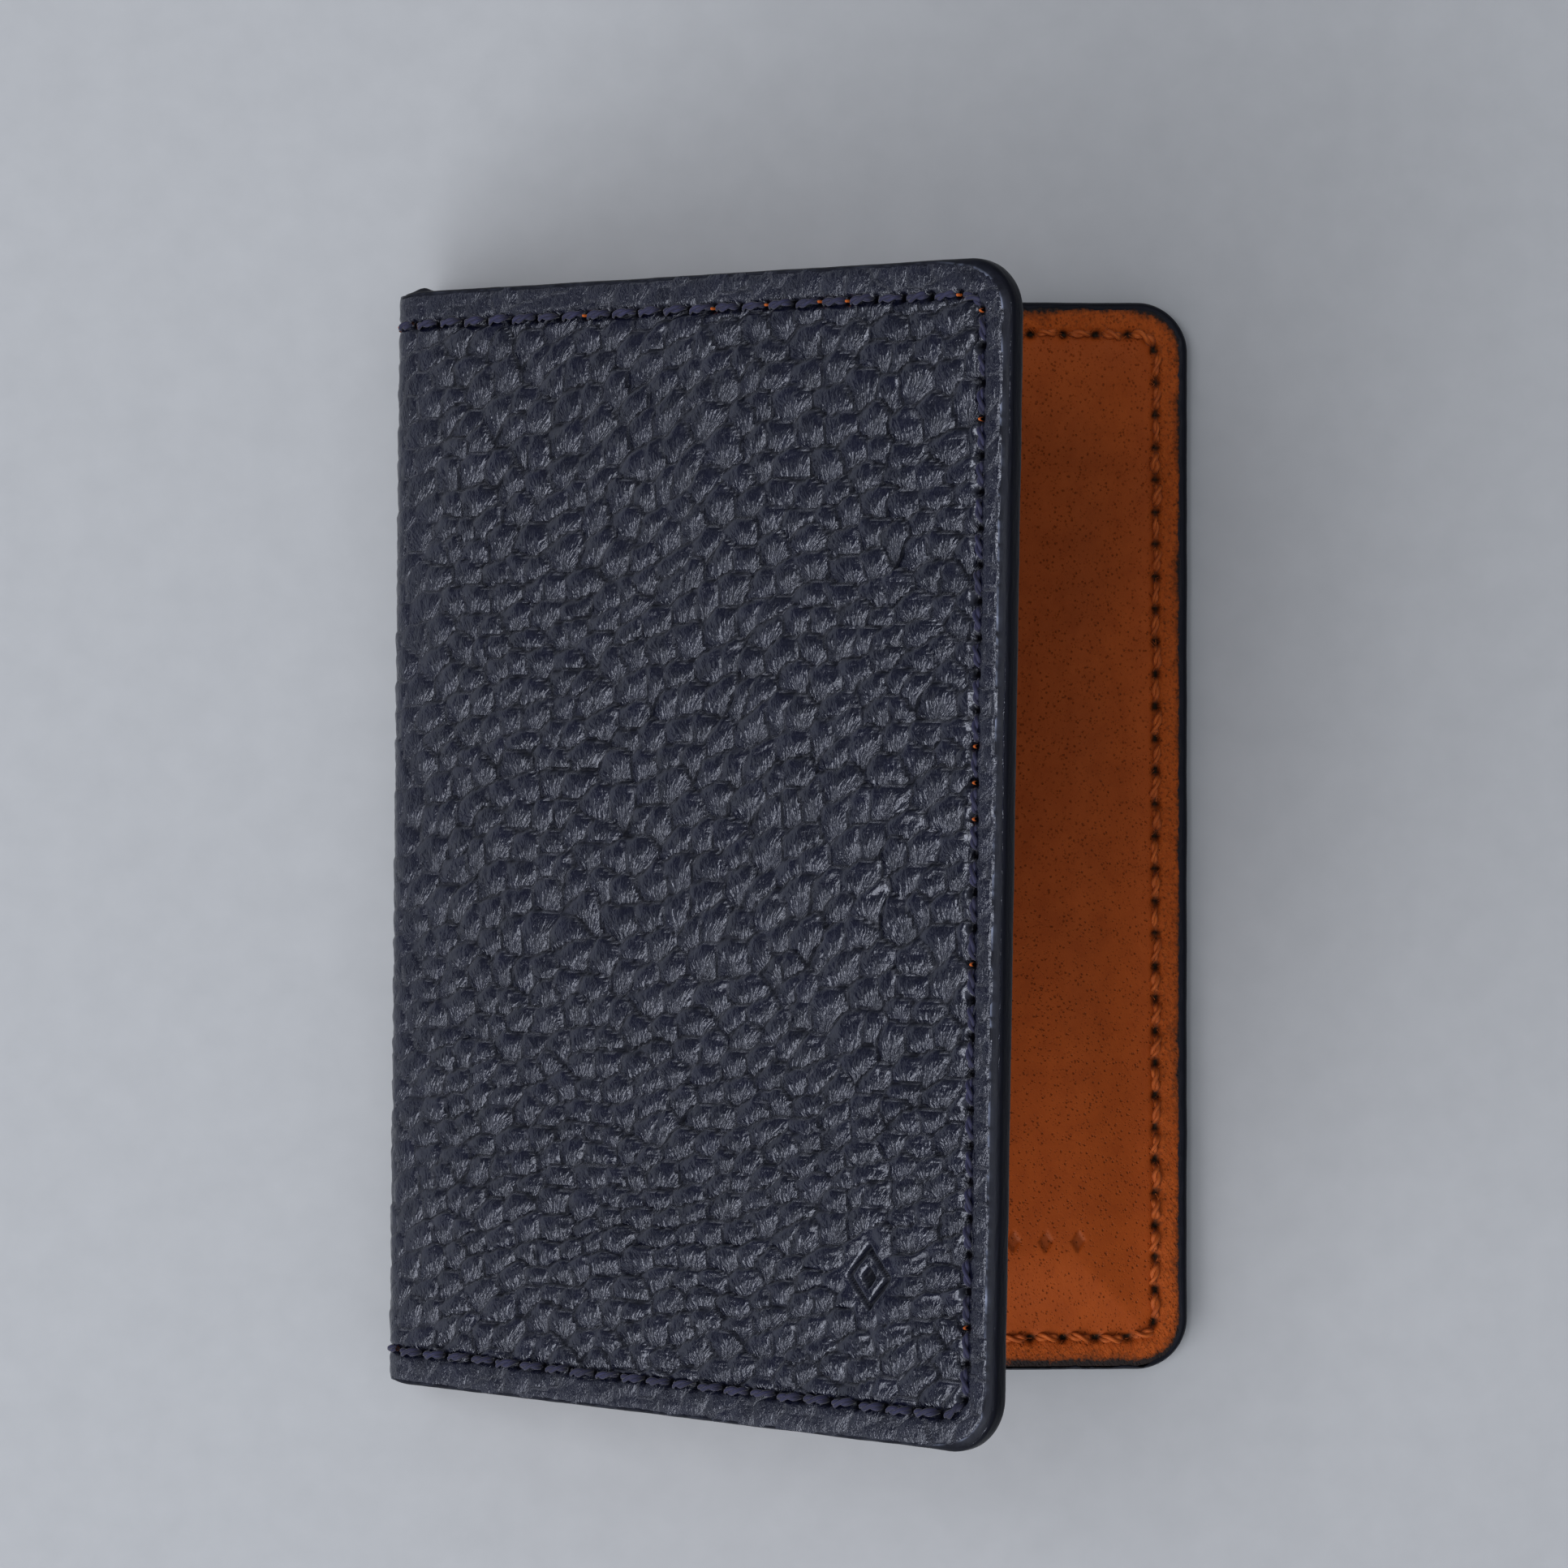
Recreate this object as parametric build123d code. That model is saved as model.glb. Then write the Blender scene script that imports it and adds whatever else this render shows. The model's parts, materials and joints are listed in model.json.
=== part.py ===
"""Vertical bifold card holder in leather.

Every layer is laid out flat, as it is cut and sewn, with the back fold line along x = 0.
The layers are then folded to the half-open rest pose, and moved so that the origin is at the
middle of the back cover's grain face, on the table. Units are millimetres and degrees.
X runs from the spine to the back cover's free edge, Y runs up along the spine, and Z is up.
"""

import os
from math import cos, radians, sin

from build123d import *

# ---- overall size ----
HEIGHT = 105.0
COVER_W = 75.0  # fold line to free edge
SPINE_W = 8.6  # between the two fold lines
CORNER_R = 5.0
OPEN_ANGLE = 44.0  # between the covers at rest: 0 is closed, 180 is flat
FOLD_SKEW = 0.52  # the holder was folded this far off square

# ---- leather layers ----
OUTER_T = 1.0
BOARD_T = 0.3
BOARD_START_X = 3.2  # the board stops short of the fold, so that the leather can bend
LINING_T = 0.35
WIDE_POCKET_T = 0.5
NARROW_POCKET_T = 0.55
EDGE_T = 0.5  # painted edge, beyond the cut layers

# ---- card pockets ----
WIDE_MOUTH_X = 13.0
NARROW_MOUTH_X = 23.0
CARD_GAP = 0.85
RIM = 4.2  # sewn border that stays flat, from the free edge
RAMP = 3.0  # run over which a pocket rises from its border
POCKET_CORNER_R = 2.0

# ---- stitching ----
SEAM_INSET = 3.2
SEAM_CORNER_R = 2.0
SEAM_START_X = 2.4  # first hole beyond a fold line
PITCH = 3.2
HOLE_R = 0.34
THREAD_R = 0.35
LEG_R = 0.3  # thread squeezed inside a needle hole
TOP_THREAD_H = 0.4
BOBBIN_H = 0.6
GROOVE_DEPTH = 0.42
GROOVE_W = 0.9
SPINE_HOLE_X = (-2.8, -5.8)

# ---- blind-stamped marks ----
STAMP_DEPTH = 0.2
EMBLEM_W = 5.2
EMBLEM_H = 6.2
EMBLEM_LINE = 0.5
EMBLEM_FROM_EDGE = 13.8  # emblem centre from the front cover's free edge
EMBLEM_FROM_FOOT = 14.7  # emblem centre above the bottom edge
MARK_W = 1.6
MARK_H = 2.6
MARK_STEP = 3.2
MARK_COUNT = 9
MARK_FROM_EDGE = 11.0  # last mark from the back cover's free edge
MARK_FROM_FOOT = 12.8

# ---- worked out from the above ----
HALF_H = HEIGHT / 2
LINING_Z = OUTER_T + BOARD_T
WIDE_Z = LINING_Z + LINING_T
NARROW_Z = WIDE_Z + WIDE_POCKET_T
COVER_T = NARROW_Z + NARROW_POCKET_T
SPINE_T = OUTER_T + LINING_T
LOCK_Z = COVER_T / 2  # where top thread and bobbin thread interlock
FOLD_Z = OUTER_T / 2  # the fold turns about the middle of the outer leather
TURN = 90 - OPEN_ANGLE / 2  # how far each fold is turned from flat
FOLD_GAP = 0.03
LEVEL_STEP = 0.02  # keeps a thread end clear of the layer that it stops at
OVERRUN = 10.0  # how far a plate runs past the fold before it is trimmed
REACH = 30.0  # how far a cutter runs past the leather

FOLD_DIR = (sin(radians(FOLD_SKEW)), cos(radians(FOLD_SKEW)), 0)
BACK_FOLD = Axis((0, 0, FOLD_Z), FOLD_DIR)
FRONT_FOLD = Axis((-SPINE_W, 0, FOLD_Z), FOLD_DIR)
SPINE_MIDDLE = Axis((-SPINE_W / 2, 0, 0), (0, 0, 1))


def cover_face(inset, corner_r=None):
    """The back cover's outline, inset from its free edges and running on past the fold."""
    end_x = COVER_W - inset
    width = end_x + OVERRUN
    face = Pos(end_x - width / 2, 0) * Rectangle(width, HEIGHT - 2 * inset)
    corners = face.vertices().group_by(Axis.X)[-1]
    return fillet(corners, corner_r or CORNER_R - inset)


def window(start_x, end_x=COVER_W):
    """Everything between two x values, as a face."""
    return Pos((start_x + end_x) / 2, 0) * Rectangle(end_x - start_x, 2 * HEIGHT)


def beyond_fold():
    """Everything past the back fold line, mitred so that the fold can close to a right angle."""
    profile = Polyline(
        (-REACH, -REACH),
        (FOLD_GAP, -REACH),
        (FOLD_GAP, FOLD_Z),
        (FOLD_GAP + REACH, FOLD_Z + REACH),
        (-REACH, FOLD_Z + REACH),
        close=True,
    )
    cutter = extrude(Plane.XZ * make_face(profile), HEIGHT, both=True)
    return cutter.rotate(Axis.Z, -FOLD_SKEW)


def cover_plate(z, thickness):
    """A flat layer of the back cover, mitred at the fold."""
    return extrude(Pos(0, 0, z) * cover_face(EDGE_T), thickness) - beyond_fold()


def board_plate(z, thickness):
    """A flat layer of the back cover that stops short of the fold."""
    return extrude(Pos(0, 0, z) * (cover_face(EDGE_T) & window(BOARD_START_X)), thickness)


def seam_path():
    """The stitch line round the three free sides of the back cover."""
    side_x = COVER_W - SEAM_INSET
    top_y = HALF_H - SEAM_INSET
    points = [(SEAM_START_X, top_y), (side_x, top_y), (side_x, -top_y), (SEAM_START_X, -top_y)]
    return FilletPolyline(*points, radius=SEAM_CORNER_R)


def seam_points():
    """Needle holes, evenly spaced along the stitch line."""
    path = seam_path()
    count = round(path.length / PITCH)
    return [path @ (i / count) for i in range(count + 1)]


def columns(points, radius, z_low, z_high):
    """A round column at each needle hole, from z_low to z_high."""
    spots = Sketch() + [Pos(p.X, p.Y, z_low) * Circle(radius) for p in points]
    return extrude(spots, z_high - z_low)


def needle_holes(points):
    """Cutter for the needle holes through every layer."""
    return columns(points, HOLE_R, -1, COVER_T + 1)


def seam_band(width, z, thickness, start_x, end_x=COVER_W):
    """A band that follows the stitch line between two x values."""
    half = width / 2
    outer = cover_face(SEAM_INSET - half, SEAM_CORNER_R + half)
    inner = cover_face(SEAM_INSET + half, SEAM_CORNER_R - half)
    band = (outer - inner) & window(start_x, end_x)
    return extrude(Pos(0, 0, z) * band, thickness)


# ---- layers of one cover, laid out as the back cover ----


def outer_leather(holes):
    """Grained outer leather, with a groove that sinks the top thread."""
    groove = seam_band(GROOVE_W, -1, 1 + GROOVE_DEPTH, SEAM_START_X - GROOVE_W / 2)
    return cover_plate(0, OUTER_T) - groove - holes


def stiffener(holes):
    """Thin board that keeps the cover flat."""
    return board_plate(OUTER_T, BOARD_T) - holes


def lining(holes):
    """Smooth lining behind the pockets."""
    return cover_plate(LINING_Z, LINING_T) - holes


def raised_block(z_low, z_high):
    """A block with sloping sides inside the sewn border; it runs out past the pocket's mouth."""
    foot = Pos(0, 0, z_low) * cover_face(RIM, POCKET_CORNER_R)
    head = Pos(0, 0, z_high) * cover_face(RIM + RAMP, POCKET_CORNER_R)
    return loft([foot, head])


def card_pocket(z, thickness, rise, mouth_x, holes):
    """A pocket sewn on three sides, raised inside its border, and open towards the spine."""
    sheet = extrude(Pos(0, 0, z) * cover_face(EDGE_T), thickness)
    formed = sheet + raised_block(z + thickness, z + thickness + rise)
    hollow = formed - raised_block(z, z + rise)
    keep = Pos(mouth_x + HEIGHT, 0, 0) * Box(2 * HEIGHT, 2 * HEIGHT, 2 * REACH)
    return (hollow & keep) - holes


def wide_pocket(holes):
    """The rear pocket, which holds a card's full width."""
    return card_pocket(WIDE_Z, WIDE_POCKET_T, CARD_GAP, WIDE_MOUTH_X, holes)


def narrow_pocket(holes):
    """The front pocket, set back so that both cards' edges show."""
    return card_pocket(NARROW_Z, NARROW_POCKET_T, 2 * CARD_GAP, NARROW_MOUTH_X, holes)


def top_thread(points):
    """Needle thread: sunk in the groove outside, with a leg down each needle hole."""
    start = SEAM_START_X - THREAD_R
    run = seam_band(2 * THREAD_R, LEVEL_STEP, TOP_THREAD_H - LEVEL_STEP, start)
    legs = columns(points, LEG_R, TOP_THREAD_H / 2, LOCK_Z - LEVEL_STEP)
    return run + legs


def bobbin_thread(points):
    """Bobbin thread: lies on the inside, stepping up onto each pocket."""
    levels = (
        (WIDE_Z, SEAM_START_X - THREAD_R, WIDE_MOUTH_X - LEVEL_STEP),
        (NARROW_Z, WIDE_MOUTH_X - THREAD_R, NARROW_MOUTH_X - LEVEL_STEP),
        (COVER_T, NARROW_MOUTH_X - THREAD_R, COVER_W),
    )
    thread = Part()
    for z, start_x, end_x in levels:
        thread += seam_band(2 * THREAD_R, z, BOBBIN_H, start_x, end_x)
        on_level = [p for p in points if start_x <= p.X < end_x]
        thread += columns(on_level, LEG_R, LOCK_Z + LEVEL_STEP, z + BOBBIN_H / 2)
    return thread


def painted_edge():
    """Edge paint round the three free sides, stepping up where each pocket adds its layer."""
    ring = cover_face(0) - cover_face(EDGE_T)
    steps = ((WIDE_Z, -OVERRUN), (NARROW_Z, WIDE_MOUTH_X), (COVER_T, NARROW_MOUTH_X))
    edge = Part()
    for height, start_x in steps:
        edge += extrude(ring & window(start_x), height)
    return edge - beyond_fold()


def to_front(shape):
    """Turns a back cover layer about the spine's middle into the front cover's, laid flat."""
    return shape.rotate(SPINE_MIDDLE, 180)


# ---- blind-stamped marks ----


def lozenge(x, y, width, height):
    """A diamond-shaped face."""
    half_w, half_h = width / 2, height / 2
    corners = [(x + half_w, y), (x, y + half_h), (x - half_w, y), (x, y - half_h)]
    return make_face(Polyline(*corners, close=True))


def emblem_stamp():
    """Two lozenges, one inside the other, stamped into the front cover's grain, laid flat."""
    x = -SPINE_W - COVER_W + EMBLEM_FROM_EDGE
    y = EMBLEM_FROM_FOOT - HALF_H
    rim = EMBLEM_LINE * EMBLEM_H / EMBLEM_W
    border = lozenge(x, y, EMBLEM_W, EMBLEM_H)
    border -= lozenge(x, y, EMBLEM_W - 2 * EMBLEM_LINE, EMBLEM_H - 2 * rim)
    middle = lozenge(x, y, EMBLEM_W / 3, EMBLEM_H / 3)
    return extrude(border, STAMP_DEPTH) + extrude(middle, STAMP_DEPTH)


def pocket_stamp():
    """Row of lozenges stamped into the back cover's narrow pocket."""
    top = COVER_T + 2 * CARD_GAP
    y = MARK_FROM_FOOT - HALF_H
    stamp = Part()
    for i in range(MARK_COUNT):
        x = COVER_W - MARK_FROM_EDGE - i * MARK_STEP
        stamp += extrude(Pos(0, 0, top - STAMP_DEPTH) * lozenge(x, y, MARK_W, MARK_H), 1)
    return stamp


# ---- spine ----


def spine_strip(z, thickness, half_h):
    """A strip between the two fold lines, mitred at both."""
    block = Pos(-SPINE_W / 2, 0, z + thickness / 2)
    strip = block * Box(2 * SPINE_W, 2 * half_h, thickness)
    past_back = mirror(beyond_fold(), Plane.YZ).rotate(Axis.Z, -2 * FOLD_SKEW)
    return strip - past_back - to_front(past_back)


def spine_seam(width, z, thickness, end):
    """A run over the single stitch at one end of the spine: 1 is the upper end, -1 the lower."""
    spot = Pos(sum(SPINE_HOLE_X) / 2, end * (HALF_H - SEAM_INSET), z)
    length = SPINE_HOLE_X[0] - SPINE_HOLE_X[1]
    return extrude(spot * SlotCenterToCenter(length, width), thickness)


def spine_points(end):
    """Needle holes at one end of the spine."""
    return [Vector(x, end * (HALF_H - SEAM_INSET)) for x in SPINE_HOLE_X]


def spine_end_parts(end):
    """The thread and the painted edge at one end of the spine, laid flat, by short name."""
    points = spine_points(end)
    lock_z = SPINE_T / 2
    top_run = spine_seam(2 * THREAD_R, LEVEL_STEP, TOP_THREAD_H - LEVEL_STEP, end)
    top_legs = columns(points, LEG_R, TOP_THREAD_H / 2, lock_z - LEVEL_STEP)
    bobbin_run = spine_seam(2 * THREAD_R, SPINE_T, BOBBIN_H, end)
    bobbin_legs = columns(points, LEG_R, lock_z + LEVEL_STEP, SPINE_T + BOBBIN_H / 2)
    edges = spine_strip(0, SPINE_T, HALF_H) - spine_strip(0, SPINE_T, HALF_H - EDGE_T)
    return {
        "top_thread": top_run + top_legs,
        "bobbin_thread": bobbin_run + bobbin_legs,
        "painted_edge": edges & (Pos(0, end * HEIGHT, 0) * Box(HEIGHT, 2 * HEIGHT, HEIGHT)),
    }


def spine_parts():
    """The spine's pieces, laid flat, by node name."""
    leather = spine_strip(0, OUTER_T, HALF_H - EDGE_T)
    backing = spine_strip(OUTER_T, LINING_T, HALF_H - EDGE_T)
    parts = {}
    for end, place in ((1, "upper"), (-1, "lower")):
        holes = needle_holes(spine_points(end))
        leather -= spine_seam(GROOVE_W, -1, 1 + GROOVE_DEPTH, end) + holes
        backing -= holes
        for name, shape in spine_end_parts(end).items():
            parts[f"spine_{place}_{name}"] = shape
    return parts | {"spine_leather": leather, "spine_lining": backing}


def cover_parts():
    """One cover's pieces, laid out as the back cover, by short name."""
    points = seam_points()
    holes = needle_holes(points)
    return {
        "cover_leather": outer_leather(holes),
        "stiffener": stiffener(holes),
        "lining": lining(holes),
        "wide_pocket": wide_pocket(holes),
        "narrow_pocket": narrow_pocket(holes),
        "top_thread": top_thread(points),
        "bobbin_thread": bobbin_thread(points),
        "painted_edge": painted_edge(),
    }


def all_parts():
    """Every piece at the rest pose, by node name, with the back fold line still along x = 0."""
    parts = {}
    for name, shape in cover_parts().items():
        back, front = shape, to_front(shape)
        if name == "narrow_pocket":
            back = back - pocket_stamp()
        if name == "cover_leather":
            front = front - emblem_stamp()
        parts["back_" + name] = back
        parts["front_" + name] = front.rotate(FRONT_FOLD, TURN).rotate(BACK_FOLD, TURN)
    for name, shape in spine_parts().items():
        parts[name] = shape.rotate(BACK_FOLD, TURN)
    return parts


os.makedirs("parts", exist_ok=True)
for node, shape in all_parts().items():
    export_step(shape.translate((-COVER_W / 2, 0, 0)), f"parts/{node}.step")
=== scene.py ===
import json
import math

import bpy
import numpy as np
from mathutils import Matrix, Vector


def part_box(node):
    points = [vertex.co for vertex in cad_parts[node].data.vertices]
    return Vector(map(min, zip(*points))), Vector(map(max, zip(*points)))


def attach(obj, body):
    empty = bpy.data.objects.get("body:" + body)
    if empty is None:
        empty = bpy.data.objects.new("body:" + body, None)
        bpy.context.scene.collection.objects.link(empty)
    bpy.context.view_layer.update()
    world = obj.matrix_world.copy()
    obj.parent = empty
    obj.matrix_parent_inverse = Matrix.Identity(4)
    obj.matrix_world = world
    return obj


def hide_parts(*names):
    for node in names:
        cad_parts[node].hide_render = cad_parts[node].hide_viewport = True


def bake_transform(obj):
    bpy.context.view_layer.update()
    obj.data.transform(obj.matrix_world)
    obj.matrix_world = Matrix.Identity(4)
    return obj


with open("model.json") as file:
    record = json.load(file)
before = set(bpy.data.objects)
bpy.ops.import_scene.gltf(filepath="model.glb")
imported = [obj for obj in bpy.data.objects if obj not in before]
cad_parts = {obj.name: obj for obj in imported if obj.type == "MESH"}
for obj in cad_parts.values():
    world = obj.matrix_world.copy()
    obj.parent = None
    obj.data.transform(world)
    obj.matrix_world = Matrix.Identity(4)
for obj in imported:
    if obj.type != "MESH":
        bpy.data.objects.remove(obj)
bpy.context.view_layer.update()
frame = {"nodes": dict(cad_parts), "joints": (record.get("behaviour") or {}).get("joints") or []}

# A bifold leather card holder, resting half open. Every layer, seam and painted edge is laid out
# flat, as it is cut and sewn, and then folded to the rest pose. Lengths are in millimetres until a
# mesh is made. In a cover, u runs from the fold to the free edge, v along the spine, and z up from
# the grain face. The whole numbers from 11 to 404 are seeds, which tell one random field from another.

# ---- sizes, in millimetres

M_TO_MM = 1000.0
MM_TO_M = 0.001


def node_box(node):
    """Lowest and highest corner of a CAD node, in millimetres."""
    low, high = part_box(node)
    return np.array(low) * M_TO_MM, np.array(high) * M_TO_MM


JOINTS = {j["name"]: j for j in frame["joints"]}
AXIS = np.array(JOINTS["spine_fold"]["axis"])
BACK_FOLD = np.array(JOINTS["spine_fold"]["pos_m"]) * M_TO_MM
FRONT_FOLD = np.array(JOINTS["cover_fold"]["pos_m"]) * M_TO_MM
ACROSS = np.array([AXIS[1], -AXIS[0], 0.0])  # square to the folds, towards the back cover

chain = FRONT_FOLD - BACK_FOLD
TURN = math.pi - math.atan2(chain[2], chain @ ACROSS)
SPINE_W = math.hypot(chain[2], chain @ ACROSS) / AXIS[1]
HALF_SPINE = SPINE_W / 2

edge_u, HALF_H, COVER_T = node_box("back_painted_edge")[1]
COVER_W = edge_u - BACK_FOLD[0]
FOLD_Z = BACK_FOLD[2]
OUTER_T = node_box("back_cover_leather")[1][2]
LINING_TOP = node_box("back_lining")[1][2]
wide_low, wide_high = node_box("back_wide_pocket")
narrow_low, narrow_high = node_box("back_narrow_pocket")
WIDE_MOUTH = wide_low[0] - BACK_FOLD[0]
NARROW_MOUTH = narrow_low[0] - BACK_FOLD[0]
WIDE_TOP = narrow_low[2]
WIDE_RISE = wide_high[2] - WIDE_TOP
NARROW_RISE = narrow_high[2] - COVER_T
SPINE_T = LINING_TOP - node_box("back_stiffener")[1][2] + OUTER_T

# Sizes that the boxes of the CAD nodes don't show.
CORNER_R = 5.0
THREAD_R = 0.35
SEAM_INSET = edge_u - node_box("back_top_thread")[1][0] + THREAD_R
SEAM_CORNER_R = 2.4
PITCH = 3.2
SPINE_PARING = 0.25  # the spine's ends are cut this much shorter than the covers

# ---- curves and noise


def smooth(t):
    """Smoothstep, from 0 at t = 0 to 1 at t = 1."""
    t = np.clip(t, 0.0, 1.0)
    return t * t * (3 - 2 * t)


def bell(t):
    """1 at t = 0, and 0.37 at t = 1 either way."""
    return np.exp(-(t**2))


def hashed(i, j, seed):
    """A repeatable random number from 0 to 1 at each lattice point."""
    n = (i.astype(np.int64) * 374761393 + j.astype(np.int64) * 668265263 + seed * 982451653) & 0xFFFFFFFF
    n = ((n ^ (n >> 13)) * 1274126177) & 0xFFFFFFFF
    n = ((n ^ (n >> 16)) * 2246822519) & 0xFFFFFFFF
    return ((n ^ (n >> 15)) & 0xFFFFFF) / float(0x1000000)


def noise(x, y, seed):
    """Gradient noise, about -1 to 1."""
    i, j = np.floor(x), np.floor(y)
    fx, fy = x - i, y - j
    total = 0
    for a in (0, 1):
        for b in (0, 1):
            turn = hashed(i + a, j + b, seed) * 2 * np.pi
            dot = np.cos(turn) * (fx - a) + np.sin(turn) * (fy - b)
            wx = smooth(fx) if a else 1 - smooth(fx)
            wy = smooth(fy) if b else 1 - smooth(fy)
            total = total + wx * wy * dot
    return total * 1.6


def cells(x, y, jitter, seed, above=1.0, below=1.0):
    """Distances to the nearest and second nearest cell centre of a staggered lattice, with the
    offset from the nearest centre, a random number for its cell and how much higher or lower
    the second cell lies. Heights above and below a centre can count for more or less, which
    arches the cells' upper edges."""
    j0 = np.floor(y)
    i0 = np.floor(x)
    best = second = np.full(x.shape, 9.0)
    off_x = off_y = chance = row = row2 = np.zeros(x.shape)
    for dj in (-2, -1, 0, 1, 2):
        for di in (-2, -1, 0, 1, 2):
            j = j0 + dj
            i = i0 + di
            cx = i + 0.5 * (j % 2) + 0.5 + jitter * (hashed(i, j, seed) - 0.5)
            cy = j + 0.5 + 0.8 * jitter * (hashed(i, j, seed + 1) - 0.5)
            dx, dy = x - cx, y - cy
            d = np.hypot(dx, np.where(dy > 0, above, below) * dy)
            nearer = d < best
            row2 = np.where(nearer, row, np.where(d < second, cy, row2))
            row = np.where(nearer, cy, row)
            second = np.where(nearer, best, np.minimum(second, d))
            off_x = np.where(nearer, dx, off_x)
            off_y = np.where(nearer, dy, off_y)
            chance = np.where(nearer, hashed(i, j, seed + 2), chance)
            best = np.where(nearer, d, best)
    return best, second, off_x, off_y, chance, np.abs(row2 - row)


# ---- the fold

FOLD_REACH = 2.6  # each fold is rounded over this far to both sides
TABLE_STEP = 0.01
TABLE_MARGIN = 10  # the table of the folded section runs this far past the covers


def fold_table():
    """The section of the rounded folds: travel past the back fold, then s, z and turned angle."""
    travel = np.arange(-COVER_W - TABLE_MARGIN, SPINE_W + COVER_W + TABLE_MARGIN, TABLE_STEP)
    spine = SPINE_W * AXIS[1]
    v = np.linspace(0, 1, 2001)
    pace = math.cos(TURN / 2) / np.mean(np.cos(TURN * smooth(v) - TURN / 2))
    angle = np.zeros_like(travel)
    speed = np.ones_like(travel)
    for fold in (0.0, spine):
        t = (travel - fold + FOLD_REACH) / (2 * FOLD_REACH)
        angle += TURN * smooth(t)
        speed = np.where((t > 0) & (t < 1), pace, speed)
    ds = -np.cos(angle) * speed * TABLE_STEP
    dz = np.sin(angle) * speed * TABLE_STEP
    s = np.concatenate([[0], np.cumsum((ds[1:] + ds[:-1]) / 2)]) - travel[0]
    z = np.concatenate([[0], np.cumsum((dz[1:] + dz[:-1]) / 2)]) + FOLD_Z
    return travel, s, z, angle


TABLE_U, TABLE_S, TABLE_Z, TABLE_A = fold_table()


def folded(x, y, z):
    """Takes a point of the flat layout to the half-open rest pose, in millimetres."""
    s = x * ACROSS[0] + y * ACROSS[1]
    t = x * AXIS[0] + y * AXIS[1]
    angle = np.interp(-s, TABLE_U, TABLE_A)
    lift = z - FOLD_Z
    s_new = np.interp(-s, TABLE_U, TABLE_S) + np.sin(angle) * lift
    z_new = np.interp(-s, TABLE_U, TABLE_Z) + np.cos(angle) * lift
    x_new = s_new * ACROSS[0] + t * AXIS[0] + BACK_FOLD[0]
    y_new = s_new * ACROSS[1] + t * AXIS[1]
    return np.stack([x_new, y_new, z_new], axis=-1)


def to_layout(side, u, v):
    """Cover coordinates to the flat layout. The spine's ends are pared a little shorter."""
    pared = SPINE_PARING * smooth((3.2 - u) / 5.0) * smooth((np.abs(v) - HALF_H + 7) / 7)
    v = v - np.sign(v) * pared
    if side == "back":
        return u, v
    return -SPINE_W - u, -v


def join_fold(obj, side):
    """Bakes the piece's placement into its mesh, for either cover alike."""
    if side == "back":
        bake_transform(obj)
    else:
        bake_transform(obj)


# ---- pebbled grain

PEBBLE_W, PEBBLE_ROW = 3.4, 2.45
PEBBLE_JITTER = 0.72
LOBE_W, LOBE_ROW = 1.55, 1.35  # the faint lobes that a pebble is made of
LOBE_JITTER = 0.9
ROW_SLANT = 0.22
# How far the rows of pebbles stray along and across themselves: reach, length of the wave, seed.
STRAY_ALONG = ((0.8, 6, 11), (0.30, 1.9, 12), (0.08, 0.7, 16))
STRAY_ACROSS = ((3.2, 34, 15), (0.7, 9, 13), (0.24, 1.9, 14), (0.06, 0.7, 17))
# Heights in millimetres. Widths and places within a pebble are in shares of its cell.
SHOULDER_H, SHOULDER_W = 0.20, 0.12
PEBBLE_TILT = 0.42  # each pebble rises towards its upper edge
TILT_FOOT, TILT_LOW, TILT_HIGH = -0.1, -0.9, 0.8
SIDE_FALL = 0.44
PEBBLE_UNEVEN = 0.10
LOBE_H, LOBE_SHOULDER_W, LOBE_TILT = 0.05, 0.35, 0.07
GRAIN_DROP = 0.45  # puts the pebbles' tops at the grain face
CREASE_W, LOBE_CREASE_W = 0.055, 0.06
SLACK_FROM = 0.16  # the skin below this place on a pebble is loose and wrinkled
FAN_FOOT = 1.15  # the wrinkles fan out from this far below a pebble's centre


def strayed(along, gx, gy, waves):
    """A coordinate with a sum of noise waves added to it."""
    for reach, size, seed in waves:
        along = along + reach * noise(gx / size, gy / size, seed)
    return along


def pebbles(gx, gy):
    """The pebbled grain: its height in millimetres, how near a crease it is, how slack the skin
    is, and coordinates that fan out from the foot of each pebble."""
    wx = strayed(gx, gx, gy, STRAY_ALONG)
    wy = strayed(gy, gx, gy, STRAY_ACROSS) - ROW_SLANT * gx
    near, far, ox, oy, chance, climb = cells(wx / PEBBLE_W, wy / PEBBLE_ROW, PEBBLE_JITTER, 21, 1.5, 0.72)
    rim = far - near
    level = 0.35 + 0.65 * smooth((climb - 0.15) / 0.5)  # creases between neighbours in a row are shallow
    shoulder = 1 - level * np.exp(-rim / SHOULDER_W)
    height = SHOULDER_H * shoulder + PEBBLE_TILT * np.clip(oy - TILT_FOOT, TILT_LOW, TILT_HIGH) * shoulder
    height += PEBBLE_UNEVEN * (chance - 0.5) - SIDE_FALL * ox**2
    near, far, _, lobe_y, _, _ = cells(wx / LOBE_W + 40, wy / LOBE_ROW, LOBE_JITTER, 31, 1.2, 0.9)
    lobe_rim = far - near
    height += LOBE_H * (1 - np.exp(-lobe_rim / LOBE_SHOULDER_W)) + LOBE_TILT * lobe_y
    turn = np.arctan2(ox, oy + FAN_FOOT)
    reach = np.hypot(ox, oy + FAN_FOOT)
    slack = (0.06 + smooth((SLACK_FROM - oy) / 0.5)) * (1 - np.exp(-rim / 0.10))
    crease = 1.25 * level * np.exp(-rim / CREASE_W) + 0.15 * np.exp(-lobe_rim / LOBE_CREASE_W)
    fan = (turn * 8.2 + chance * 37, reach * 1.9 + chance * 11)
    return height - GRAIN_DROP, np.clip(crease, 0, 1), slack, fan


# ---- seams

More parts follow.
